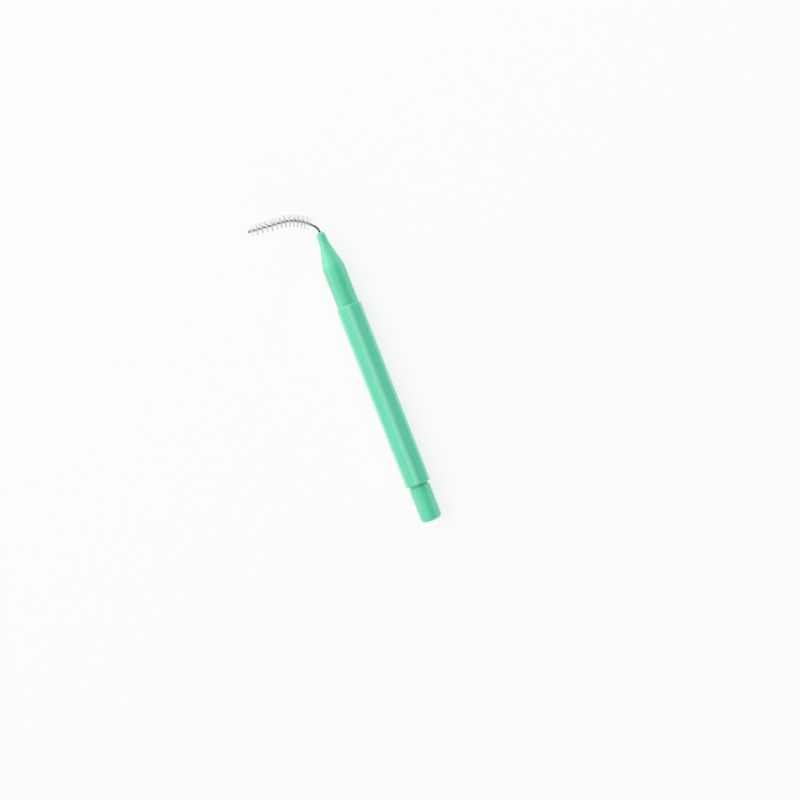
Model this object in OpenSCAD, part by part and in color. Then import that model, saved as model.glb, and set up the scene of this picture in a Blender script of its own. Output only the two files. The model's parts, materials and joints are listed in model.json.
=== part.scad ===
// Interdental brush: a moulded handle with a twisted wire brush whose neck is bent by hand.
// The handle lies along X on one flat of its grip, with the brush end towards +X and Z up.
// The origin is the middle of the flat that it lies on.

/* [Grip] */
// Width of the hexagonal grip across its flats
grip_flats = 4.65; // [4.4:0.05:6]
// Length of the hexagonal grip
grip_length = 34.6; // [24:0.2:50]
// Radius that rounds the six long corners of the grip
grip_corner_r = 1.1; // [0.5:0.05:1.6]

/* [Nose] */
// Diameter of the round seat ahead of the grip, which a cap slides over
seat_d = 4.12; // [3.4:0.02:4.3]
// Length of the round seat
seat_length = 7.7; // [4:0.1:12]
// Length of the cone from the seat to the slender tip
cone_length = 4.45; // [3.5:0.05:8]
// Radius that softens the shoulder between the seat and the cone
shoulder_r = 3; // [1:0.1:5]
// Length of the slender tip, as far as the cone
tip_length = 2.3; // [1.8:0.1:4]
// Diameter of the slender tip where it meets the cone
tip_root_d = 1.76; // [1.65:0.01:2.1]
// Diameter of the slender tip near its end
tip_d = 1.56; // [1.3:0.01:1.64]
// Radius of the round end of the tip
tip_end_r = 0.65; // [0.3:0.01:0.65]
// Radius of the hollow curve in which the tip flares into the cone
flare_r = 7; // [3:0.1:9]

/* [Rear spigot] */
// Diameter of the round spigot behind the grip
spigot_d = 3.95; // [3.6:0.05:4.3]
// Length of the spigot behind its groove
spigot_length = 6.6; // [4:0.1:10]
// Radius of the rounded end of the spigot
spigot_end_r = 0.8; // [0.2:0.05:1.5]
// Diameter of the groove between the grip and the spigot
groove_d = 3.5; // [2.6:0.05:3.55]
// Width of the groove
groove_width = 0.5; // [0.2:0.05:1.2]
// Diameter of the shallow recess in the end of the spigot, where the plastic was fed in
gate_d = 1.4; // [0.8:0.1:2]
// Depth of that recess
gate_depth = 0.25; // [0.1:0.05:0.5]
// Diameter of the stub that stays in the recess where the feed was snapped off
gate_stub_d = 0.5; // [0.3:0.05:0.7]
// Height of that stub over the bottom of the recess
gate_stub_height = 0.15; // [0.05:0.05:0.25]

/* [Wire] */
// Diameter of one strand of the wire
wire_d = 0.21; // [0.16:0.01:0.26]
// Length of the twisted wire that is held inside the nose
root_length = 5; // [3:0.1:8]
// Length of bare wire between the nose and the first bristles
stem_length = 2.3; // [2:0.05:4]
// Length of wire for one full twist where it leaves the nose
stem_pitch = 0.9; // [0.8:0.05:1.2]
// Length of bare wire over which the twist loosens, up to the first bristles
loosen_length = 1.2; // [0.8:0.05:1.8]
// Length of the tight bend just outside the nose
neck_length = 1.5; // [1.2:0.1:2.2]
// Angle of the tight bend
neck_angle = 40; // [5:1:60]
// Length of the wide bow that follows the tight bend
bow_length = 6.4; // [4:0.1:8]
// Angle of the wide bow
bow_angle = 45; // [5:1:60]
// Radius of the hairpin loop at the end of the wire, to the middle of the strand
loop_r = 0.24; // [0.18:0.01:0.3]
// Length of wire from the last bristles to the hairpin loop
loop_leg_length = 0.35; // [0.3:0.05:1]

/* [Bristles] */
// Length of wire that carries bristles
bristle_length = 11.1; // [7:0.1:14]
// Length of wire for one full twist at the first bristles
first_pitch = 1.4; // [1.25:0.05:1.6]
// Length of wire for one full twist at the last bristles
last_pitch = 2; // [1.7:0.05:2.4]
// Diameter of the brush at its first bristles
brush_rear_d = 2.6; // [2:0.1:3.2]
// Diameter of the brush at its last bristles
brush_front_d = 2.3; // [1.6:0.1:3]
// Thickness of one bristle
filament_d = 0.055; // [0.045:0.005:0.065]
// Number of bristles in a row, on each side of the wire
row_filaments = 27; // [22:1:30]

/* [Fits] */
// Gap all round the wire in the bore of the nose
bore_clearance = 0.03; // [0.01:0.01:0.08]
// Gap between a strand and whatever it grips or touches
pinch_clearance = 0.01; // [0.005:0.001:0.02]

/* [Hidden] */

handle_colour = [0.44, 0.86, 0.72];
wire_colour = [0.62, 0.63, 0.64];
bristle_colour = [0.93, 0.94, 0.95];

// Counts of sides and steps
round_sides = 96;
arc_steps = 8;
wire_sides = 6;
twist_steps = 10;
loop_steps = 8;
bristle_rows = 7;
grip_corners = 6;

// The wire bends in a plane that leans up by this much, so that it stays clear of the table
bend_lean = 30;
// Share of the room along the wire that each bristle fills where it leaves the strands
filament_fill_share = 0.75;
// Twist at the first bristles, measured from the plane of the bend
first_twist = 55;

// Places along the handle
grip_front_x = grip_length / 2;
shoulder_x = grip_front_x + seat_length;
flare_x = shoulder_x + cone_length;
mouth_x = flare_x + tip_length;
spigot_front_x = -grip_front_x - groove_width;
spigot_rear_x = spigot_front_x - spigot_length;
axis_z = grip_flats / 2;

// The wire as two strands wound round each other
strand_r = wire_d / 2;
bare_coil_r = strand_r + pinch_clearance / 2;
gripping_coil_r = strand_r + pinch_clearance + filament_d / 2;
bore_d = 2 * (bare_coil_r + strand_r + bore_clearance);
bristle_end = stem_length + bristle_length;
loop_start = bristle_end + loop_leg_length;

// Twists are counted from the first bristles, and each is longer than the last by these rates
pitch_growth = (last_pitch - first_pitch) / bristle_length;
bristle_turns = ln(last_pitch / first_pitch) / pitch_growth;
loosen_growth = (first_pitch - stem_pitch) / loosen_length;
loosen_turns = ln(first_pitch / stem_pitch) / loosen_growth;

// The stem ends and the brush begins where the strands begin to part for the bristles
part_length = stem_pitch / 2;
stem_end_turn = ln(1 - part_length * loosen_growth / first_pitch) / loosen_growth;
root_end_turn = -loosen_turns - (stem_length - loosen_length + root_length) / stem_pitch;

// Directions of the plane in which the wire bends
ahead = [1, 0, 0];
aside = [0, cos(bend_lean), sin(bend_lean)];
across = cross(ahead, aside);

function unit(v) = v / norm(v);
function limited(value, low, high) = min(max(value, low), high);
function mixed(a, b, share) = a + (b - a) * share;
function eased(share) = share * share * (3 - 2 * share);

// Points of an outline whose corners are rounded; each corner is [x, y, radius]
function rounded(corners) = [
    for (i = [0 : len(corners) - 1])
        each corner_arc(
            corners[(i + len(corners) - 1) % len(corners)],
            corners[i],
            corners[(i + 1) % len(corners)]
        )
];

function corner_arc(before, corner, after) =
    let (
        place = [corner[0], corner[1]],
        back = unit([before[0], before[1]] - place),
        on = unit([after[0], after[1]] - place),
        half_angle = acos(limited(back * on, -1, 1)) / 2,
        reach = corner[2] / tan(half_angle),
        middle = place + unit(back + on) * corner[2] / sin(half_angle),
        spoke = place + back * reach - middle,
        sweep = (180 - 2 * half_angle) * sign(back[0] * on[1] - back[1] * on[0])
    )
    corner[2] == 0 ? [place] : [
        for (i = [0 : arc_steps])
            let (turn = -sweep * i / arc_steps)
            middle + [
                spoke[0] * cos(turn) - spoke[1] * sin(turn),
                spoke[0] * sin(turn) + spoke[1] * cos(turn)
            ]
    ];

// Half outline of the round parts of the handle, as [radius, place along the handle, corner radius]
handle_outline = [
    [0, spigot_rear_x, 0],
    [spigot_d / 2, spigot_rear_x, spigot_end_r],
    [spigot_d / 2, spigot_front_x, 0],
    [groove_d / 2, spigot_front_x, 0],
    [groove_d / 2, 0, 0],
    [seat_d / 2, 0, 0],
    [seat_d / 2, shoulder_x, shoulder_r],
    [tip_root_d / 2, flare_x, flare_r],
    [tip_d / 2, mouth_x, tip_end_r],
    [0, mouth_x, 0]
];

// Angle by which the wire has turned from the handle's axis, at a distance along it from the mouth
function heading(along) =
    neck_angle * limited(along / neck_length, 0, 1)
    + bow_angle * limited((along - neck_length) / bow_length, 0, 1);

function along_dir(along) = cos(heading(along)) * ahead + sin(heading(along)) * aside;
function inward_dir(along) = cos(heading(along)) * aside - sin(heading(along)) * ahead;

// Centre line of the wire: straight in the nose, then two arcs, then straight to the loop
function wire_centre(along) =
    let (
        neck_r = neck_length / neck_angle * 180 / PI,
        bow_r = bow_length / bow_angle * 180 / PI,
        full_angle = neck_angle + bow_angle,
        turned = heading(along),
        in_neck = min(turned, neck_angle),
        straight_on = max(along - neck_length - bow_length, 0),
        forward = min(along, 0) + neck_r * sin(in_neck)
            + bow_r * (sin(max(turned, neck_angle)) - sin(neck_angle))
            + straight_on * cos(full_angle),
        sideways = neck_r * (1 - cos(in_neck))
            + bow_r * (cos(neck_angle) - cos(max(turned, neck_angle)))
            + straight_on * sin(full_angle)
    )
    [mouth_x, 0, axis_z] + forward * ahead + sideways * aside;

// Distance along the wire at a number of twists from the first bristles
function along_at(turn) =
    turn < -loosen_turns ? stem_length - loosen_length + (turn + loosen_turns) * stem_pitch
    : let (growth = turn < 0 ? loosen_growth : pitch_growth)
        stem_length + first_pitch * (exp(growth * turn) - 1) / growth;

function coil_r_at(along) =
    mixed(
        bare_coil_r, gripping_coil_r,
        eased(limited(1 + (along - stem_length) / part_length, 0, 1))
    );

// A direction square to the wire, by its twist angle from the plane of the bend
function spoke_dir(along, twist) = cos(twist) * inward_dir(along) + sin(twist) * across;

// One place on a strand, as [its centre, the direction straight out of the twist]
function strand_place(along, twist, radius) =
    let (out = spoke_dir(along, twist))
    [wire_centre(along) + radius * out, out];

function twisted_place(turn, side) =
    let (along = along_at(turn))
    strand_place(along, first_twist + 360 * turn + 180 * side, coil_r_at(along));

// Places on a strand that is wound from one turn to another, one more at each end to aim the end rings
function twisted_places(first_turn, last_turn, side) =
    let (steps = ceil((last_turn - first_turn) * twist_steps))
    [
        for (i = [-1 : steps + 1])
            twisted_place(mixed(first_turn, last_turn, i / steps), side)
    ];

// Twist at a share of the way along the loop's legs, where the winding dies out
function leg_twist(share) =
    first_twist + 360 * (bristle_turns + loop_leg_length / last_pitch * (share - share * share / 2));

function leg_places(side) = [
    for (i = [1 : loop_steps])
        let (share = i / loop_steps)
        strand_place(
            mixed(bristle_end, loop_start, share),
            leg_twist(share) + 180 * side,
            mixed(gripping_coil_r, loop_r, eased(share))
        )
];

// The hairpin loop, from one leg round to the other
function loop_places() =
    let (
        spoke = spoke_dir(loop_start, leg_twist(1)),
        middle = wire_centre(loop_start)
    )
    [
        for (i = [1 : loop_steps - 1])
            let (
                angle = 180 * i / loop_steps,
                out = cos(angle) * spoke + sin(angle) * along_dir(loop_start)
            )
            [middle + loop_r * out, out]
    ];

function reversed(list) = [for (i = [len(list) - 1 : -1 : 0]) list[i]];
function without_last(list) = [for (i = [0 : len(list) - 2]) list[i]];

// Ring of points round each place but the first and last, square to the way the strand runs
function strand_rings(places) = [
    for (i = [1 : len(places) - 2])
        let (
            run = unit(places[i + 1][0] - places[i - 1][0]),
            beside = unit(cross(run, places[i][1])),
            out = cross(beside, run)
        )
        [
            for (j = [0 : wire_sides - 1])
                let (angle = 360 * j / wire_sides)
                places[i][0] + strand_r * (cos(angle) * out + sin(angle) * beside)
        ]
];

// Two triangles of a four-sided face, its corners in order
function split_face(a, b, c, d) = [[a, b, c], [a, c, d]];

module tube(rings) {
    sides = len(rings[0]);
    last = (len(rings) - 1) * sides;
    polyhedron(
        points = [for (ring = rings) each ring],
        faces = [
            for (i = [0 : len(rings) - 2], j = [0 : sides - 1])
                let (a = i * sides, k = (j + 1) % sides)
                each split_face(a + j, a + sides + j, a + sides + k, a + k),
            for (j = [1 : sides - 2])
                each [[0, j, j + 1], [last, last + j + 1, last + j]]
        ]
    );
}

module lay_along_x() {
    translate([0, 0, axis_z])
        rotate([0, 90, 0])
            children();
}

// Hexagon with rounded corners: three strips from flat to flat, and a disc at each corner
module grip_section() {
    strip_width = (grip_flats - 2 * grip_corner_r) / sqrt(3);
    for (i = [0 : grip_corners / 2 - 1])
        rotate(i * 360 / grip_corners)
            square([grip_flats, strip_width], center = true);
    for (i = [0 : grip_corners - 1])
        rotate((i + 1 / 2) * 360 / grip_corners)
            translate([strip_width, 0])
                circle(grip_corner_r, $fn = round_sides);
}

// Space of the gate recess, in which the stub is left standing
module gate_recess() {
    translate([0, 0, spigot_rear_x])
        difference() {
            cylinder(d = gate_d, h = 2 * gate_depth, center = true, $fn = round_sides);
            translate([0, 0, gate_depth - gate_stub_height])
                cylinder(d = gate_stub_d, h = 2 * gate_stub_height, $fn = round_sides);
        }
}

module handle() {
    color(handle_colour)
        lay_along_x()
            difference() {
                union() {
                    translate([0, 0, -grip_front_x])
                        linear_extrude(height = grip_length)
                            grip_section();
                    rotate_extrude($fn = round_sides)
                        polygon(rounded(handle_outline));
                }
                translate([0, 0, mouth_x - root_length - bore_clearance])
                    cylinder(d = bore_d, h = root_length + tip_length, $fn = round_sides);
                gate_recess();
            }
}

// Both strands where the wire is bare, from its ends inside the nose to where the bristles begin
module stem_wire() {
    color(wire_colour)
        for (side = [0, 1])
            tube(strand_rings(twisted_places(root_end_turn, stem_end_turn, side)));
}

// The gripping part of the wire: one strand out, round the hairpin loop and back
module core_wire() {
    color(wire_colour)
        tube(strand_rings([
            each without_last(twisted_places(stem_end_turn, bristle_turns, 0)),
            each leg_places(0),
            each loop_places(),
            each reversed(leg_places(1)),
            each reversed(without_last(twisted_places(stem_end_turn, bristle_turns, 1)))
        ]));
}

// Corners of the pinched mat of bristles at one place along the wire
function mat_corners(turn) =
    let (
        along = along_at(turn),
        centre = wire_centre(along),
        thick = spoke_dir(along, first_twist + 360 * turn) * filament_d / 2,
        wide = spoke_dir(along, first_twist + 360 * turn + 90) * strand_r
    )
    [centre + wide + thick, centre - wide + thick, centre - wide - thick, centre + wide - thick];

// Corners of a bristle's free end, on the side given by 1 or -1, in the order of its base's corners
function filament_end(turn, side) =
    let (
        along = along_at(turn),
        radius = mixed(brush_rear_d, brush_front_d, (along - stem_length) / bristle_length) / 2,
        thick = -side * spoke_dir(along, first_twist + 360 * turn) * filament_d / 2,
        wide = along_dir(along) * filament_d / 2,
        end = wire_centre(along) + side * radius * spoke_dir(along, first_twist + 360 * turn + 90)
    )
    [end - wide + thick, end - wide - thick, end + wide - thick, end + wide + thick];

// The sides and the free end of a bristle, from its four base corners to its four end corners
function filament_faces(base, end) = [
    for (j = [0 : 3])
        let (k = (j + 1) % 4)
        each split_face(base[j], base[k], end + k, end + j),
    each split_face(end, end + 1, end + 2, end + 3)
];

// A row of bristles: a twisted mat between the strands, with each bristle growing from both its edges
module bristle_row(row) {
    turn_step = bristle_turns / bristle_rows / row_filaments;
    first_turn = row * bristle_turns / bristle_rows;
    half_base = turn_step * filament_fill_share / 2;
    middles = [for (i = [0 : row_filaments - 1]) first_turn + turn_step * (i + 1 / 2)];
    mat = [for (turn = middles) each [mat_corners(turn - half_base), mat_corners(turn + half_base)]];
    ends = [for (turn = middles) each [filament_end(turn, 1), filament_end(turn, -1)]];
    first_end = 4 * len(mat);
    last = 4 * (len(mat) - 1);
    color(bristle_colour)
        polyhedron(
            points = [for (corners = mat) each corners, for (corners = ends) each corners],
            faces = [
                for (i = [0 : len(mat) - 2])
                    let (a = 4 * i, b = a + 4)
                    each [
                        each split_face(a, a + 1, b + 1, b),
                        each split_face(a + 2, a + 3, b + 3, b + 2)
                    ],
                for (i = [1 : 2 : len(mat) - 3])
                    let (a = 4 * i, b = a + 4)
                    each [
                        each split_face(a + 3, a, b, b + 3),
                        each split_face(a + 1, a + 2, b + 2, b + 1)
                    ],
                for (i = [0 : row_filaments - 1])
                    let (a = 8 * i, b = a + 4, right = first_end + 8 * i, left = right + 4)
                    each [
                        each filament_faces([a + 3, a, b, b + 3], right),
                        each filament_faces([a + 1, a + 2, b + 2, b + 1], left)
                    ],
                each split_face(0, 3, 2, 1),
                each split_face(last, last + 1, last + 2, last + 3)
            ]
        );
}

handle();
stem_wire();
core_wire();
for (row = [0 : bristle_rows - 1])
    bristle_row(row);
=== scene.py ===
import json
import math
import random

import bmesh
import bpy
from mathutils import Matrix, Vector


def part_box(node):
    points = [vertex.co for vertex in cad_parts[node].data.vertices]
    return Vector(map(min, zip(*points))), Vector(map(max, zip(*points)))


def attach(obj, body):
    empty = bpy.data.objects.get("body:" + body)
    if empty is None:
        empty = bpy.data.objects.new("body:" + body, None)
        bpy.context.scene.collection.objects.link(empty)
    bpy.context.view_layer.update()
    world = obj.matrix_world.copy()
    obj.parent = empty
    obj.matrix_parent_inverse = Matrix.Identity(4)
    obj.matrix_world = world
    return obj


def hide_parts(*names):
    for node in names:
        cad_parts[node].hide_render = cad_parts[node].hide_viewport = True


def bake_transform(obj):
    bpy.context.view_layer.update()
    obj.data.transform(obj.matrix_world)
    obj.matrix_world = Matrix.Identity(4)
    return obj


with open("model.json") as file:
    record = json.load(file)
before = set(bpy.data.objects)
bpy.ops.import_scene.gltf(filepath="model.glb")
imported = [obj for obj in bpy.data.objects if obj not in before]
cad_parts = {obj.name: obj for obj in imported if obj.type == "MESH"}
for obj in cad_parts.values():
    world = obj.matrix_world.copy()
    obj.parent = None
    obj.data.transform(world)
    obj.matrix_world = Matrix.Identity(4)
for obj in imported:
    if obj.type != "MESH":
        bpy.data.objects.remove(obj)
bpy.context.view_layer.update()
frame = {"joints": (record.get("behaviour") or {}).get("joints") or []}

mm = 0.001
tolerance = 0.01 * mm  # how near a point must be to a plane or ring to count as on it
weldDistance = 0.001 * mm
joint = frame["joints"][0]
lowCorner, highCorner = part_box("handle")
axisZ = (lowCorner.z + highCorner.z) / 2  # height of the handle's axis over the table

# The wire bends in one plane: ahead is along the handle, aside is where it bends to
ahead = Vector((1, 0, 0))
across = Vector(joint["axis"]).normalized()
aside = across.cross(ahead)


def deselectAll():
    if bpy.context.mode != "OBJECT":
        bpy.ops.object.mode_set(mode="OBJECT")
    bpy.ops.object.select_all(action="DESELECT")


def makeActive(piece):
    deselectAll()
    piece.select_set(True)
    bpy.context.view_layer.objects.active = piece


def startEditing(piece):
    makeActive(piece)
    bpy.ops.object.mode_set(mode="EDIT")
    bpy.ops.mesh.select_mode(type="EDGE")
    bpy.ops.mesh.select_all(action="DESELECT")


def namePiece(name):
    # For the primitive that was just added: its name, and its place put into its mesh
    piece = bpy.context.object
    piece.name = name
    piece.data.name = name
    bpy.ops.object.transform_apply(location=True, rotation=True, scale=True)
    return piece


def radiusAt(place):
    return math.hypot(place.y, place.z - axisZ)


def selectEdges(piece, wanted):
    bpy.ops.mesh.select_all(action="DESELECT")
    mesh = bmesh.from_edit_mesh(piece.data)
    for edge in mesh.edges:
        edge.select_set(wanted(edge.verts[0].co, edge.verts[1].co))
    bmesh.update_edit_mesh(piece.data)


def roundEdges(piece, wanted, offset, segments):
    selectEdges(piece, wanted)
    bpy.ops.mesh.bevel(offset=offset, segments=segments, profile=0.5, affect="EDGES")


def applyModifier(piece, kind, **settings):
    makeActive(piece)
    modifier = piece.modifiers.new(kind.lower(), kind)
    for setting, value in settings.items():
        setattr(modifier, setting, value)
    bpy.ops.object.modifier_apply(modifier=modifier.name)


def cleanMesh(piece, smoothAngle):
    startEditing(piece)
    bpy.ops.mesh.select_all(action="SELECT")
    bpy.ops.mesh.remove_doubles(threshold=weldDistance)
    bpy.ops.mesh.normals_make_consistent(inside=False)
    makeActive(piece)
    bpy.ops.object.shade_smooth_by_angle(angle=math.radians(smoothAngle))


# The handle, one moulding: a turned body with a hexagonal grip round its middle
handle = {
    "gripFlats": highCorner.z - lowCorner.z,
    "gripLength": 34.6 * mm,
    "gripCornerRadius": 1.1 * mm,
    "gripEndRadius": 0.14 * mm,
    "seatRadius": 2.06 * mm,
    "seatLength": 7.7 * mm,
    "coneLength": 4.45 * mm,
    "shoulderRadius": 3 * mm,
    "tipLength": 2.3 * mm,
    "tipRootRadius": 0.88 * mm,
    "tipRadius": 0.78 * mm,
    "tipEndRadius": 0.65 * mm,
    "flareRadius": 7 * mm,
    "spigotRadius": 1.975 * mm,
    "spigotLength": 6.6 * mm,
    "spigotEndRadius": 0.8 * mm,
    "grooveRadius": 1.75 * mm,
    "grooveWidth": 0.5 * mm,
    "spigotRimRadius": 0.07 * mm,
    "creaseRadius": 0.12 * mm,
    "creaseSunk": 0.1,
    "creaseSteps": 5,
    "partingHeight": 0.018 * mm,
    "boreRadius": 0.235 * mm,
    "boreDepth": 5 * mm,
    "gateRadius": 0.7 * mm,
    "gateDepth": 0.25 * mm,
    "gateStubRadius": 0.25 * mm,
    "gateStubHeight": 0.15 * mm,
    "sides": 96,
    "cutterSides": 32,
    "rimSegments": 3,
    "blendSegments": 6,
    "roundSegments": 8,
    "smoothAngle": 40,
}
gripFront = handle["gripLength"] / 2
shoulderX = gripFront + handle["seatLength"]
flareX = shoulderX + handle["coneLength"]
mouthX = flareX + handle["tipLength"]
spigotFront = -gripFront - handle["grooveWidth"]
spigotRear = spigotFront - handle["spigotLength"]


def makeTurnedBody():
    # Hollow corner where the seat meets the end of the grip, from just inside the grip
    crease = []
    for i in range(handle["creaseSteps"] + 1):
        angle = math.radians(90 * i / handle["creaseSteps"])
        crease.append((
            gripFront + handle["creaseRadius"] * (1 - handle["creaseSunk"] - math.cos(angle)),
            handle["seatRadius"] + handle["creaseRadius"] * (1 - math.sin(angle)),
        ))
    # Rings from the rear to the mouth: place along the axis, radius. The grip hides the step at 0
    rings = [
        (spigotRear, handle["spigotRadius"]),
        (spigotFront, handle["spigotRadius"]),
        (spigotFront, handle["grooveRadius"]),
        (0, handle["grooveRadius"]),
        (0, crease[0][1]),
        *crease,
        (shoulderX, handle["seatRadius"]),
        (flareX, handle["tipRootRadius"]),
        (mouthX, handle["tipRadius"]),
    ]
    bpy.ops.mesh.primitive_circle_add(
        vertices=handle["sides"], radius=rings[0][1], fill_type="NGON",
        location=(rings[0][0], 0, axisZ), rotation=(0, math.pi / 2, 0),
    )
    body = namePiece("turnedBody")
    startEditing(body)
    bpy.ops.mesh.select_all(action="SELECT")
    for (x, radius), (nextX, nextRadius) in zip(rings, rings[1:]):
        bpy.ops.mesh.extrude_region_move(TRANSFORM_OT_translate={"value": (nextX - x, 0, 0)})
        factor = nextRadius / radius
        bpy.ops.transform.resize(value=(1, factor, factor), center_override=(nextX, 0, axisZ))

    coneAngle = math.atan2(handle["seatRadius"] - handle["tipRootRadius"], handle["coneLength"])
    tipAngle = math.atan2(handle["tipRootRadius"] - handle["tipRadius"], handle["tipLength"])

    def roundRing(x, radius, roundness, turn, segments):
        def onRing(a, b):
            return all(
                abs(p.x - x) < tolerance and abs(radiusAt(p) - radius) < tolerance for p in (a, b)
            )
        roundEdges(body, onRing, roundness * math.tan(turn / 2), segments)

    rim, blend, end = handle["rimSegments"], handle["blendSegments"], handle["roundSegments"]
    roundRing(spigotRear, handle["spigotRadius"], handle["spigotEndRadius"], math.pi / 2, end)
    roundRing(spigotFront, handle["spigotRadius"], handle["spigotRimRadius"], math.pi / 2, rim)
    roundRing(shoulderX, handle["seatRadius"], handle["shoulderRadius"], coneAngle, blend)
    roundRing(flareX, handle["tipRootRadius"], handle["flareRadius"], coneAngle - tipAngle, blend)
    roundRing(mouthX, handle["tipRadius"], handle["tipEndRadius"], math.pi / 2 - tipAngle, end)
    # The halves of the mould meet level with the axis and leave a fine line on each side
    selectEdges(body, lambda a, b: all(abs(p.z - axisZ) < tolerance for p in (a, b)))
    factor = 1 + handle["partingHeight"] / handle["seatRadius"]
    bpy.ops.transform.resize(value=(1, factor, 1), center_override=(0, 0, axisZ))
    deselectAll()
    return body


def makeGrip():
    # Six-sided bar whose long corners are rounded first, then the rims of its two ends
    bpy.ops.mesh.primitive_cylinder_add(
        vertices=6, radius=handle["gripFlats"] / math.sqrt(3), depth=handle["gripLength"],
        location=(0, 0, axisZ), rotation=(0, math.pi / 2, 0),
    )
    grip = namePiece("grip")
    startEditing(grip)
    roundEdges(
        grip, lambda a, b: abs(a.x - b.x) > gripFront,
        handle["gripCornerRadius"] * math.tan(math.pi / 6), handle["roundSegments"],
    )
    roundEdges(
        grip, lambda a, b: abs(a.x - b.x) < tolerance,
        handle["gripEndRadius"], handle["rimSegments"],
    )
    deselectAll()
    return grip


def makeCutter(name, radius, x, depth):
    # Round tool that reaches a depth to either side of x
    bpy.ops.mesh.primitive_cylinder_add(
        vertices=handle["cutterSides"], radius=radius, depth=2 * depth,
        location=(x, 0, axisZ), rotation=(0, math.pi / 2, 0),
    )
    return namePiece(name)


def makeGateCutter():
    # Shallow recess in the spigot's end, round the stub that the feed left when it was snapped off
    cutter = makeCutter("gate", handle["gateRadius"], spigotRear, handle["gateDepth"])
    stub = makeCutter(
        "stub", handle["gateStubRadius"],
        spigotRear + 2 * handle["gateDepth"] - handle["gateStubHeight"],
        handle["gateDepth"],
    )
    applyModifier(cutter, "BOOLEAN", operation="DIFFERENCE", solver="EXACT", object=stub)
    bpy.data.objects.remove(stub)
    return cutter


def makeHandle():
    body = makeTurnedBody()
    grip = makeGrip()
    bore = makeCutter("bore", handle["boreRadius"], mouthX, handle["boreDepth"])
    gate = makeGateCutter()
    applyModifier(body, "BOOLEAN", operation="UNION", solver="EXACT", object=grip)
    for tool in (bore, gate):
        applyModifier(body, "BOOLEAN", operation="DIFFERENCE", solver="EXACT", object=tool)
    for tool in (grip, bore, gate):
        bpy.data.objects.remove(tool)
    body.name = body.data.name = "handleMoulding"
    cleanMesh(body, handle["smoothAngle"])
    applyModifier(body, "WEIGHTED_NORMAL", mode="FACE_AREA", keep_sharp=True)
    return body


# The wire: one hairpin of two strands wound round each other, and the bend of its neck
wire = {
    "strandRadius": 0.105 * mm,
    "bareCoilRadius": 0.11 * mm,
    "grippingCoilRadius": 0.1425 * mm,
    "rootLength": 5 * mm,
    "stemLength": 2.3 * mm,
    "stemPitch": 0.9 * mm,
    "loosenLength": 1.2 * mm,
    "neckLength": 1.5 * mm,
    "neckAngle": math.radians(40),
    "bowLength": 6.4 * mm,
    "bowAngle": math.radians(45),
    "bristleLength": 11.1 * mm,
    "firstPitch": 1.4 * mm,
    "lastPitch": 2 * mm,
    "firstTwist": math.radians(55),
    "partLength": 0.45 * mm,
    "legLength": 0.345 * mm,
    "loopRadius": 0.24 * mm,
    "stepsPerTurn": 24,
    "legSteps": 10,
    "loopSteps": 14,
    "roundness": 3,
    "smoothAngle": 50,
}
neckRadius = wire["neckLength"] / wire["neckAngle"]
bowRadius = wire["bowLength"] / wire["bowAngle"]
bristleEnd = wire["stemLength"] + wire["bristleLength"]
loopStart = bristleEnd + wire["legLength"]
pitchGrowth = (wire["lastPitch"] - wire["firstPitch"]) / wire["bristleLength"]
bristleTurns = math.log(wire["lastPitch"] / wire["firstPitch"]) / pitchGrowth
loosenGrowth = (wire["firstPitch"] - wire["stemPitch"]) / wire["loosenLength"]
loosenTurns = math.log(wire["firstPitch"] / wire["stemPitch"]) / loosenGrowth


def clamp(value, low=0.0, high=1.0):
    return min(max(value, low), high)


def eased(share):
    return share * share * (3 - 2 * share)


def mix(a, b, share):
    return a + (b - a) * share


def headingAt(along):
    return (
        wire["neckAngle"] * clamp(along / wire["neckLength"])
        + wire["bowAngle"] * clamp((along - wire["neckLength"]) / wire["bowLength"])
    )


def wireCentre(along):
    turned = headingAt(along)
    inNeck = min(turned, wire["neckAngle"])
    inBow = max(turned, wire["neckAngle"])
    fullAngle = wire["neckAngle"] + wire["bowAngle"]
    straightOn = max(along - wire["neckLength"] - wire["bowLength"], 0)
    forward = (
        min(along, 0) + neckRadius * math.sin(inNeck)
        + bowRadius * (math.sin(inBow) - math.sin(wire["neckAngle"]))
        + straightOn * math.cos(fullAngle)
    )
    sideways = (
        neckRadius * (1 - math.cos(inNeck))
        + bowRadius * (math.cos(wire["neckAngle"]) - math.cos(inBow))
        + straightOn * math.sin(fullAngle)
    )
    return Vector((mouthX, 0, axisZ)) + forward * ahead + sideways * aside


def wireDirection(along):
    turned = headingAt(along)
    return math.cos(turned) * ahead + math.sin(turned) * aside


def spokeAt(along, twist):
    # Direction square to the wire, turned from the inside of the bend
    turned = headingAt(along)
    inward = math.cos(turned) * aside - math.sin(turned) * ahead
    return math.cos(twist) * inward + math.sin(twist) * across


def alongAt(turn):
    # Even twist in the nose, looser towards the bristles and looser still to the loop
    if turn < -loosenTurns:
        return wire["stemLength"] - wire["loosenLength"] + (turn + loosenTurns) * wire["stemPitch"]
    growth = loosenGrowth if turn < 0 else pitchGrowth
    return wire["stemLength"] + wire["firstPitch"] * math.expm1(growth * turn) / growth


def twistAt(turn):
    return wire["firstTwist"] + 2 * math.pi * turn


def coilRadiusAt(along):
    parted = eased(clamp(1 + (along - wire["stemLength"]) / wire["partLength"]))
    return mix(wire["bareCoilRadius"], wire["grippingCoilRadius"], parted)


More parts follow.
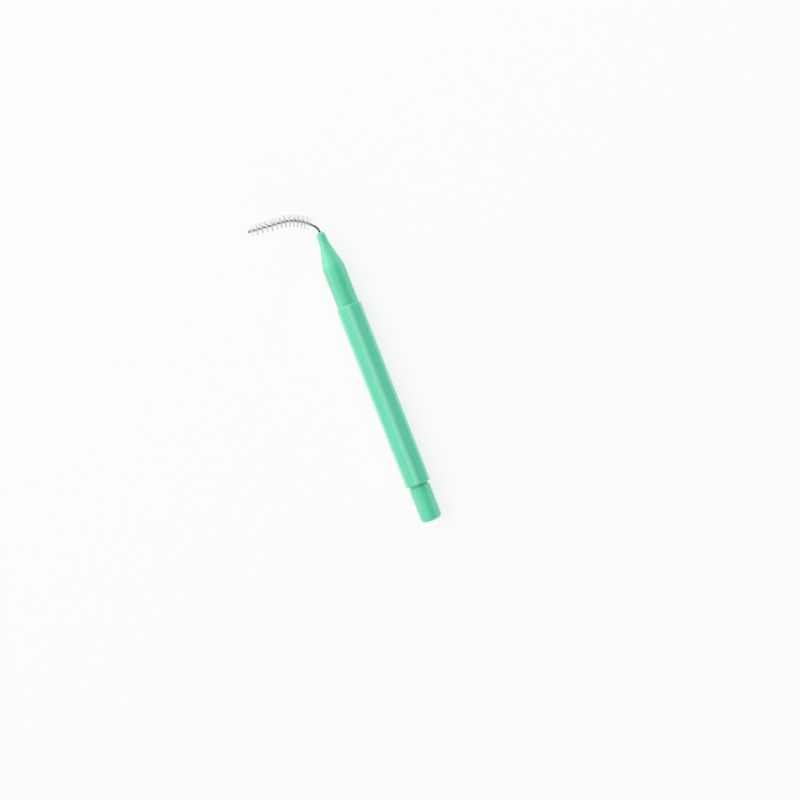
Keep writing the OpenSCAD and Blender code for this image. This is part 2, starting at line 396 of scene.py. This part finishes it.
def strandPoints(side):
    # From the strand's end in the nose to the start of the loop
    evenLength = wire["stemLength"] - wire["loosenLength"] + wire["rootLength"]
    firstTurn = -loosenTurns - evenLength / wire["stemPitch"]
    steps = math.ceil((bristleTurns - firstTurn) * wire["stepsPerTurn"])
    points = []
    for i in range(steps + 1):
        turn = mix(firstTurn, bristleTurns, i / steps)
        along = alongAt(turn)
        out = spokeAt(along, twistAt(turn) + math.pi * side)
        points.append(wireCentre(along) + coilRadiusAt(along) * out)
    for i in range(1, wire["legSteps"] + 1):
        share = i / wire["legSteps"]
        along = mix(bristleEnd, loopStart, share)
        turn = bristleTurns + wire["legLength"] / wire["lastPitch"] * (share - share * share / 2)
        radius = mix(wire["grippingCoilRadius"], wire["loopRadius"], eased(share))
        points.append(wireCentre(along) + radius * spokeAt(along, twistAt(turn) + math.pi * side))
    return points


def loopPoints():
    twist = twistAt(bristleTurns + wire["legLength"] / wire["lastPitch"] / 2)
    spoke = spokeAt(loopStart, twist)
    tip = wireDirection(loopStart)
    angles = [math.pi * i / wire["loopSteps"] for i in range(1, wire["loopSteps"])]
    return [
        wireCentre(loopStart) + wire["loopRadius"] * (math.cos(a) * spoke + math.sin(a) * tip)
        for a in angles
    ]


def drawCurve(name, paths, radius, roundness):
    curve = bpy.data.curves.new(name, "CURVE")
    curve.dimensions = "3D"
    curve.bevel_depth = radius
    curve.bevel_resolution = roundness
    curve.use_fill_caps = True
    for path in paths:
        spline = curve.splines.new("POLY")
        spline.points.add(len(path) - 1)
        for point, place in zip(spline.points, path):
            point.co = (*place, 1)
    piece = bpy.data.objects.new(name, curve)
    bpy.context.scene.collection.objects.link(piece)
    makeActive(piece)
    bpy.ops.object.convert(target="MESH")
    piece.data.name = name
    return piece


def makeWire():
    path = strandPoints(0) + loopPoints() + strandPoints(1)[::-1]
    piece = drawCurve("twistedWire", [path], wire["strandRadius"], wire["roundness"])
    cleanMesh(piece, wire["smoothAngle"])
    return piece


# The bristles: nylon filaments that cross between the strands, so that each gives two bristles
bristles = {
    "seed": 11,
    "rows": 7,
    "filamentsPerRow": 50,
    "filamentRadius": 0.0225 * mm,
    "sparseLength": 0.85 * mm,
    "sparseShare": 0.4,
    "rearRadius": 1.27 * mm,
    "frontRadius": 1.05 * mm,
    "shortest": 0.93,
    "insideLean": math.radians(2.5),
    "outsideLean": math.radians(16),
    "swing": math.radians(4),
    "curl": 0.03 * mm,
    "layerGap": 0.024 * mm,
    "segments": 4,
    "tuftsPerTurn": 4,
    "tuftSpread": 0.5,
    "endShare": 0.5,
    "roundness": 0,
    "smoothAngle": 60,
}


def gathered(turn):
    # The filaments stand in small tufts, some of them straight in the plane of the bend
    firstTuft = -(wire["firstTwist"] + math.pi / 2) / (2 * math.pi) * bristles["tuftsPerTurn"]
    place = turn * bristles["tuftsPerTurn"] - firstTuft
    middle = math.floor(place + 0.5)
    return (middle + (place - middle) * bristles["tuftSpread"] + firstTuft) / bristles["tuftsPerTurn"]


def filamentPath(turn, layer):
    along = alongAt(turn)
    twist = twistAt(turn) + math.pi / 2
    centre = wireCentre(along)
    reach = mix(
        bristles["rearRadius"], bristles["frontRadius"],
        (along - wire["stemLength"]) / wire["bristleLength"],
    )
    pinched = centre + layer * bristles["layerGap"] * spokeAt(along, twist - math.pi / 2)
    arms = []
    for side in (-1, 1):
        # Bristles on the outside of the bend fan out and those on its inside close up
        outsideShare = (1 - side * math.cos(twist)) / 2
        length = reach * random.uniform(bristles["shortest"], 1)
        lean = random.gauss(0, mix(bristles["insideLean"], bristles["outsideLean"], outsideShare))
        # A tip leans ahead by no more than a share of the way to the brush's end
        furthest = bristles["endShare"] * (bristleEnd - along)
        lean = min(lean, math.asin(clamp(furthest / length)))
        swing = random.gauss(0, bristles["swing"])
        curl = random.gauss(0, bristles["curl"])
        out = side * spokeAt(along, twist + swing)
        tilt = wireDirection(along)
        arm = []
        for i in range(1, bristles["segments"] + 1):
            share = i / bristles["segments"]
            arm.append(
                pinched + share * length * (math.cos(lean) * out + math.sin(lean) * tilt)
                + curl * share * share * tilt
            )
        arms.append(arm)
    return arms[0][::-1] + [pinched] + arms[1]


def makeBristleRow(row):
    turnStep = bristleTurns / bristles["rows"] / bristles["filamentsPerRow"]
    firstTurn = row * bristleTurns / bristles["rows"]
    paths = []
    for i in range(bristles["filamentsPerRow"]):
        turn = clamp(gathered(firstTurn + turnStep * (i + 0.5)), 0, bristleTurns)
        path = filamentPath(turn, 1 if i % 2 else -1)
        # Only a few filaments caught in the twist's first part, next to the bare neck
        inSparsePart = alongAt(turn) - wire["stemLength"] < bristles["sparseLength"]
        if not inSparsePart or random.random() < bristles["sparseShare"]:
            paths.append(path)
    piece = drawCurve(
        f"bristleRow{row + 1}", paths, bristles["filamentRadius"], bristles["roundness"],
    )
    cleanMesh(piece, bristles["smoothAngle"])
    return piece


# Shared effects: node groups that put out masks and heights, with their own inputs
def newGroup(name, inputs, outputs):
    group = bpy.data.node_groups.new(name, "ShaderNodeTree")
    for socketName, kind, value in inputs:
        socket = group.interface.new_socket(socketName, in_out="INPUT", socket_type=kind)
        if value is not None:
            socket.default_value = value
    for socketName, kind in outputs:
        group.interface.new_socket(socketName, in_out="OUTPUT", socket_type=kind)
    return group, group.nodes.new("NodeGroupInput"), group.nodes.new("NodeGroupOutput")


def setSockets(node, values):
    for socket, value in values.items():
        node.inputs[socket].default_value = value


def addNode(tree, kind, values=None, **settings):
    node = tree.nodes.new(kind)
    for setting, value in settings.items():
        setattr(node, setting, value)
    setSockets(node, values or {})
    return node


def makeGrainGroup():
    # Fine uneven grain: Grain for bumps, Cloud for slow changes of colour and gloss
    group, inlet, outlet = newGroup(
        "FineGrain",
        [
            ("Vector", "NodeSocketVector", None),
            ("Grain Scale", "NodeSocketFloat", 4000.0),
            ("Cloud Scale", "NodeSocketFloat", 300.0),
        ],
        [("Grain", "NodeSocketFloat"), ("Cloud", "NodeSocketFloat")],
    )
    grain = addNode(group, "ShaderNodeTexNoise", {"Detail": 3.0, "Roughness": 0.6})
    cloud = addNode(group, "ShaderNodeTexNoise", {"Detail": 2.0, "Roughness": 0.5})
    link = group.links.new
    link(inlet.outputs["Vector"], grain.inputs["Vector"])
    link(inlet.outputs["Vector"], cloud.inputs["Vector"])
    link(inlet.outputs["Grain Scale"], grain.inputs["Scale"])
    link(inlet.outputs["Cloud Scale"], cloud.inputs["Scale"])
    link(grain.outputs["Fac"], outlet.inputs["Grain"])
    link(cloud.outputs["Fac"], outlet.inputs["Cloud"])
    return group


def newMaterial(name):
    material = bpy.data.materials.new(name)
    material.use_nodes = True
    tree = material.node_tree
    return material, tree, tree.nodes["Principled BSDF"]


def addRange(tree, source, low, high, smallest=0.0, largest=1.0):
    # A map from a mask's useful range to the values that a socket needs
    node = addNode(
        tree, "ShaderNodeMapRange",
        {"From Min": low, "From Max": high, "To Min": smallest, "To Max": largest},
    )
    tree.links.new(source, node.inputs["Value"])
    return node.outputs["Result"]


def addMix(tree, share, first, second):
    # Each of the two is a plain colour or the output of another node
    node = addNode(tree, "ShaderNodeMix", data_type="RGBA")
    for name, colour in (("A", first), ("B", second)):
        if isinstance(colour, tuple):
            node.inputs[name].default_value = (*colour, 1)
        else:
            tree.links.new(colour, node.inputs[name])
    tree.links.new(share, node.inputs["Factor"])
    return node.outputs["Result"]


def addDistance(tree, place, middle, directions=(1, 1, 1)):
    # How far a point is from a middle, counted only in some directions
    counted = addNode(tree, "ShaderNodeVectorMath", {1: directions}, operation="MULTIPLY")
    node = addNode(tree, "ShaderNodeVectorMath", {1: middle}, operation="DISTANCE")
    tree.links.new(place, counted.inputs[0])
    tree.links.new(counted.outputs["Vector"], node.inputs[0])
    return node.outputs["Value"]


def addGrain(tree, place, grainGroup, scales):
    node = addNode(tree, "ShaderNodeGroup", node_tree=grainGroup)
    setSockets(node, scales)
    tree.links.new(place, node.inputs["Vector"])
    return node


def addBump(tree, height, bsdf, settings):
    node = addNode(tree, "ShaderNodeBump", settings)
    tree.links.new(height, node.inputs["Height"])
    tree.links.new(node.outputs["Normal"], bsdf.inputs["Normal"])


def toLinear(red, green, blue):
    # A colour as a picture shows it, 0 to 255, as the light values that a shader takes
    def channel(value):
        value /= 255
        return value / 12.92 if value <= 0.04045 else ((value + 0.055) / 1.055) ** 2.4
    return channel(red), channel(green), channel(blue)


mintPlastic = {
    "pale": toLinear(90, 227, 181),
    "deep": toLinear(82, 221, 173),
    # painted highlight colour for the grip's ridges, and the distances from the axis over which it
    # comes in
    "ridgeHighlight": toLinear(138, 239, 206),
    "ridgeHighlightFrom": 2.41 * mm,
    "ridgeHighlightTo": 2.49 * mm,
    "streak": toLinear(112, 234, 195),
    "grain": {"Grain Scale": 5200, "Cloud Scale": 260},
    "cloudMask": (0.35, 0.65),
    "flow": {"Cloud Scale": 1100},
    "flowMask": (0.2, 0.8),
    "flowStretch": 0.07,
    "flowShare": 0.6,
    "waviness": 2.5,
    "roughness": (0.36, 0.27),
    "bump": {"Strength": 0.35, "Distance": 0.02 * mm},
    "shader": {
        "IOR": 1.55,
        "Coat Weight": 1.0,
        "Coat Roughness": 0.12,
        "Coat IOR": 1.6,
        "Subsurface Weight": 0.3,
        "Subsurface Radius": (0.6, 1.0, 0.8),
        "Subsurface Scale": 0.5 * mm,
    },
}
drawnSteel = {
    "pale": toLinear(236, 231, 232),
    "deep": toLinear(214, 209, 210),
    # painted shade and dark reflection on the bare neck, and where it gives way to the wire's own
    # colour
    "neck": toLinear(100, 98, 99),
    "neckEnd": 1.6 * mm,
    "brushStart": 3.2 * mm,
    # painted shade and dark reflection on the loop at the brush's end
    "loop": toLinear(150, 147, 148),
    "loopReach": 0.3 * mm,
    "grain": {"Grain Scale": 16000, "Cloud Scale": 1500},
    "mask": (0.3, 0.7),
    "roughness": (0.24, 0.42),
    "bump": {"Strength": 0.3, "Distance": 0.004 * mm},
    "shader": {"Metallic": 1},
}
clearNylon = {
    "pale": toLinear(247, 243, 244),
    "deep": toLinear(239, 233, 235),
    "grain": {"Grain Scale": 14000, "Cloud Scale": 2600},
    "mask": (0.3, 0.7),
    "bump": {"Strength": 0.1, "Distance": 0.001 * mm},
    "shader": {"Roughness": 0.3, "IOR": 1.53, "Transmission Weight": 1.0},
}


def makePlastic(grainGroup):
    material, tree, bsdf = newMaterial("mintPlastic")
    place = addNode(tree, "ShaderNodeTexCoord").outputs["Object"]
    grain = addGrain(tree, place, grainGroup, mintPlastic["grain"])
    # The melt flowed along the handle, which leaves faint long streaks in colour and gloss
    drawnOut = addNode(tree, "ShaderNodeMapping", {"Scale": (mintPlastic["flowStretch"], 1, 1)})
    tree.links.new(place, drawnOut.inputs["Vector"])
    flow = addGrain(tree, drawnOut.outputs["Vector"], grainGroup, mintPlastic["flow"])
    clouded = addMix(
        tree, addRange(tree, grain.outputs["Cloud"], *mintPlastic["cloudMask"]),
        mintPlastic["deep"], mintPlastic["pale"],
    )
    streaked = addRange(
        tree, flow.outputs["Cloud"], *mintPlastic["flowMask"], 0, mintPlastic["flowShare"],
    )
    colour = addMix(tree, streaked, clouded, mintPlastic["streak"])
    # Painted highlight: the rounded ridges of the grip are painted paler, standing in for the light
    # they catch
    fromAxis = addDistance(tree, place, (0, 0, axisZ), (0, 1, 1))
    ridgeHighlightMask = addRange(tree, fromAxis, mintPlastic["ridgeHighlightFrom"], mintPlastic["ridgeHighlightTo"])
    tree.links.new(addMix(tree, ridgeHighlightMask, colour, mintPlastic["ridgeHighlight"]), bsdf.inputs["Base Color"])
    roughness = addRange(
        tree, flow.outputs["Cloud"], *mintPlastic["flowMask"], *mintPlastic["roughness"],
    )
    tree.links.new(roughness, bsdf.inputs["Roughness"])
    # Fine grain of the mould over the slight waves that the flow left
    height = addNode(tree, "ShaderNodeMath", {1: mintPlastic["waviness"]}, operation="MULTIPLY_ADD")
    tree.links.new(flow.outputs["Cloud"], height.inputs[0])
    tree.links.new(grain.outputs["Grain"], height.inputs[2])
    addBump(tree, height.outputs["Value"], bsdf, mintPlastic["bump"])
    setSockets(bsdf, mintPlastic["shader"])
    return material


def makeSteel(grainGroup):
    material, tree, bsdf = newMaterial("drawnSteel")
    place = addNode(tree, "ShaderNodeTexCoord").outputs["Object"]
    grain = addGrain(tree, place, grainGroup, drawnSteel["grain"])
    colour = addMix(
        tree, addRange(tree, grain.outputs["Cloud"], *drawnSteel["mask"]),
        drawnSteel["deep"], drawnSteel["pale"],
    )
    # Painted shade and dark reflection: the bare neck and loop are painted darker than the wire among
    # the bristles
    fromMouth = addDistance(tree, place, tuple(wireCentre(0)))
    brushward = addRange(tree, fromMouth, drawnSteel["neckEnd"], drawnSteel["brushStart"])
    loopFar = (wireCentre(bristleEnd) - wireCentre(0)).length
    loopward = addRange(tree, fromMouth, loopFar, loopFar + drawnSteel["loopReach"])
    withNeckShade = addMix(tree, brushward, drawnSteel["neck"], colour)
    tree.links.new(addMix(tree, loopward, withNeckShade, drawnSteel["loop"]), bsdf.inputs["Base Color"])
    roughness = addRange(
        tree, grain.outputs["Grain"], *drawnSteel["mask"], *drawnSteel["roughness"],
    )
    tree.links.new(roughness, bsdf.inputs["Roughness"])
    addBump(tree, grain.outputs["Grain"], bsdf, drawnSteel["bump"])
    setSockets(bsdf, drawnSteel["shader"])
    return material


def makeNylon(grainGroup):
    material, tree, bsdf = newMaterial("clearNylon")
    place = addNode(tree, "ShaderNodeTexCoord").outputs["Object"]
    grain = addGrain(tree, place, grainGroup, clearNylon["grain"])
    colour = addMix(
        tree, addRange(tree, grain.outputs["Cloud"], *clearNylon["mask"]),
        clearNylon["deep"], clearNylon["pale"],
    )
    tree.links.new(colour, bsdf.inputs["Base Color"])
    addBump(tree, grain.outputs["Grain"], bsdf, clearNylon["bump"])
    setSockets(bsdf, clearNylon["shader"])
    return material


# The view: the camera looks square onto the plane of the bend, turned so that the handle leans
view = {
    "lens": 50,
    "sensor": 36,
    "frameWidth": 145.4545 * mm,  # 800 pixels at 5.5 to the millimetre
    "aheadInPicture": (-0.364, -0.931),  # rightwards, downwards
    "middleBehindMouth": 33.7 * mm,
    "middleAside": -2.47 * mm,
    "clipStart": 1 * mm,
}


def makeCamera():
    right, down = view["aheadInPicture"]
    imageRight = (right * ahead + down * aside).normalized()
    imageUp = (-down * ahead + right * aside).normalized()
    onAxis = Vector((mouthX - view["middleBehindMouth"], 0, axisZ))
    middle = onAxis + view["middleAside"] * aside
    distance = view["frameWidth"] * view["lens"] / view["sensor"]
    data = bpy.data.cameras.new("camera")
    data.lens = view["lens"]
    data.sensor_width = view["sensor"]
    data.clip_start = view["clipStart"]
    camera = bpy.data.objects.new("camera", data)
    bpy.context.scene.collection.objects.link(camera)
    turn = Matrix((imageRight, imageUp, across)).transposed()
    camera.matrix_world = Matrix.Translation(middle + distance * across) @ turn.to_4x4()
    bpy.context.scene.camera = camera
    return middle


# The light: a broad soft lamp over the side that the wire bends to, a weaker one beyond the brush,
# and a pale room that is dimmer on the other side and brighter beyond the brush
light = {
    "roomBright": 0.84,
    "roomDim": 0.14,
    "roomAhead": 0.32,
    "roomSeen": 1.0,
    "toDimSide": (0, -0.914, 0.407),
    "dimReach": math.radians(48),
    "dimCore": math.radians(27),
    "lamps": {
        "keyLamp": {"toLamp": (0.62, 0.75, 0.25), "far": 1.2, "size": 1.5, "power": 4.2},
        "fillLamp": {"toLamp": (0.85, -0.3, 0.42), "far": 1, "size": 0.6, "power": 1.4},
    },
    "floorSize": 4,
    "floorGlow": 0.8,
    "floorColour": (0.92, 0.92, 0.92, 1),
    "floorRoughness": 0.8,
}


def makeLamps(middle):
    for name, lamp in light["lamps"].items():
        forward, sideways, nearer = lamp["toLamp"]
        toLamp = (forward * ahead + sideways * aside + nearer * across).normalized()
        data = bpy.data.lights.new(name, "AREA")
        data.shape = "DISK"
        data.size = lamp["size"]
        data.energy = lamp["power"]
        piece = bpy.data.objects.new(name, data)
        bpy.context.scene.collection.objects.link(piece)
        piece.location = middle + lamp["far"] * toLamp
        piece.rotation_euler = toLamp.to_track_quat("Z", "Y").to_euler()


def makeWorld():
    world = bpy.data.worlds.new("studio")
    world.use_nodes = True
    tree = world.node_tree
    background = tree.nodes["Background"]
    place = addNode(tree, "ShaderNodeTexCoord")
    nearness = addNode(tree, "ShaderNodeVectorMath", {1: light["toDimSide"]}, operation="DOT_PRODUCT")
    tree.links.new(place.outputs["Generated"], nearness.inputs[0])
    strength = addRange(
        tree, nearness.outputs["Value"], math.cos(light["dimReach"]), math.cos(light["dimCore"]),
        light["roomBright"], light["roomDim"],
    )
    towards = addNode(tree, "ShaderNodeVectorMath", {1: tuple(ahead)}, operation="DOT_PRODUCT")
    total = addNode(tree, "ShaderNodeMath", operation="ADD")
    tree.links.new(place.outputs["Generated"], towards.inputs[0])
    tree.links.new(strength, total.inputs[0])
    tree.links.new(
        addRange(tree, towards.outputs["Value"], 0, 1, 0, light["roomAhead"]), total.inputs[1],
    )
    # Where the camera sees past the floor, the room is as pale as the floor
    path = addNode(tree, "ShaderNodeLightPath")
    seen = addNode(tree, "ShaderNodeMix", {"B": light["roomSeen"]})
    tree.links.new(path.outputs["Is Camera Ray"], seen.inputs["Factor"])
    tree.links.new(total.outputs["Value"], seen.inputs["A"])
    tree.links.new(seen.outputs["Result"], background.inputs["Strength"])
    background.inputs["Color"].default_value = (1, 1, 1, 1)
    bpy.context.scene.world = world


def makeFloor():
    bpy.ops.mesh.primitive_plane_add(size=light["floorSize"], location=(0, 0, 0))
    floor = namePiece("floor")
    material, tree, bsdf = newMaterial("paleFloor")
    setSockets(bsdf, {"Base Color": light["floorColour"], "Roughness": light["floorRoughness"]})
    # Seen straight, mirrored or through nylon it is nearly white, and it still takes the shadow
    glow = addNode(tree, "ShaderNodeEmission", {"Color": (1, 1, 1, 1), "Strength": 1.0})
    path = addNode(tree, "ShaderNodeLightPath")
    seen = addNode(tree, "ShaderNodeMath", operation="MAXIMUM")
    anySeen = addNode(tree, "ShaderNodeMath", operation="MAXIMUM")
    part = addNode(tree, "ShaderNodeMath", {1: light["floorGlow"]}, operation="MULTIPLY")
    mixed = addNode(tree, "ShaderNodeMixShader")
    link = tree.links.new
    link(path.outputs["Is Camera Ray"], seen.inputs[0])
    link(path.outputs["Is Glossy Ray"], seen.inputs[1])
    link(seen.outputs[0], anySeen.inputs[0])
    link(path.outputs["Is Transmission Ray"], anySeen.inputs[1])
    link(anySeen.outputs[0], part.inputs[0])
    link(part.outputs[0], mixed.inputs["Fac"])
    link(bsdf.outputs["BSDF"], mixed.inputs[1])
    link(glow.outputs["Emission"], mixed.inputs[2])
    link(mixed.outputs["Shader"], tree.nodes["Material Output"].inputs["Surface"])
    floor.data.materials.append(material)


bpy.context.scene.view_settings.view_transform = "Standard"
random.seed(bristles["seed"])
deselectAll()

middle = makeCamera()
makeLamps(middle)
makeWorld()
makeFloor()
print("camera, lamps and floor are in place")

grainGroup = makeGrainGroup()
plastic = makePlastic(grainGroup)
steel = makeSteel(grainGroup)
nylon = makeNylon(grainGroup)
print("materials are made")

handlePiece = makeHandle()
handlePiece.data.materials.append(plastic)
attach(handlePiece, "handle")
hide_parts("handle")
print("handle:", len(handlePiece.data.polygons), "faces")

wirePiece = makeWire()
wirePiece.data.materials.append(steel)
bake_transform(wirePiece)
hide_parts("stem_wire", "core_wire")
print("wire:", len(wirePiece.data.polygons), "faces")

for row in range(bristles["rows"]):
    rowPiece = makeBristleRow(row)
    rowPiece.data.materials.append(nylon)
    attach(rowPiece, "brush_head")
    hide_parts(f"bristle_row_{row + 1}")
print("bristles:", bristles["rows"], "rows")

deselectAll()
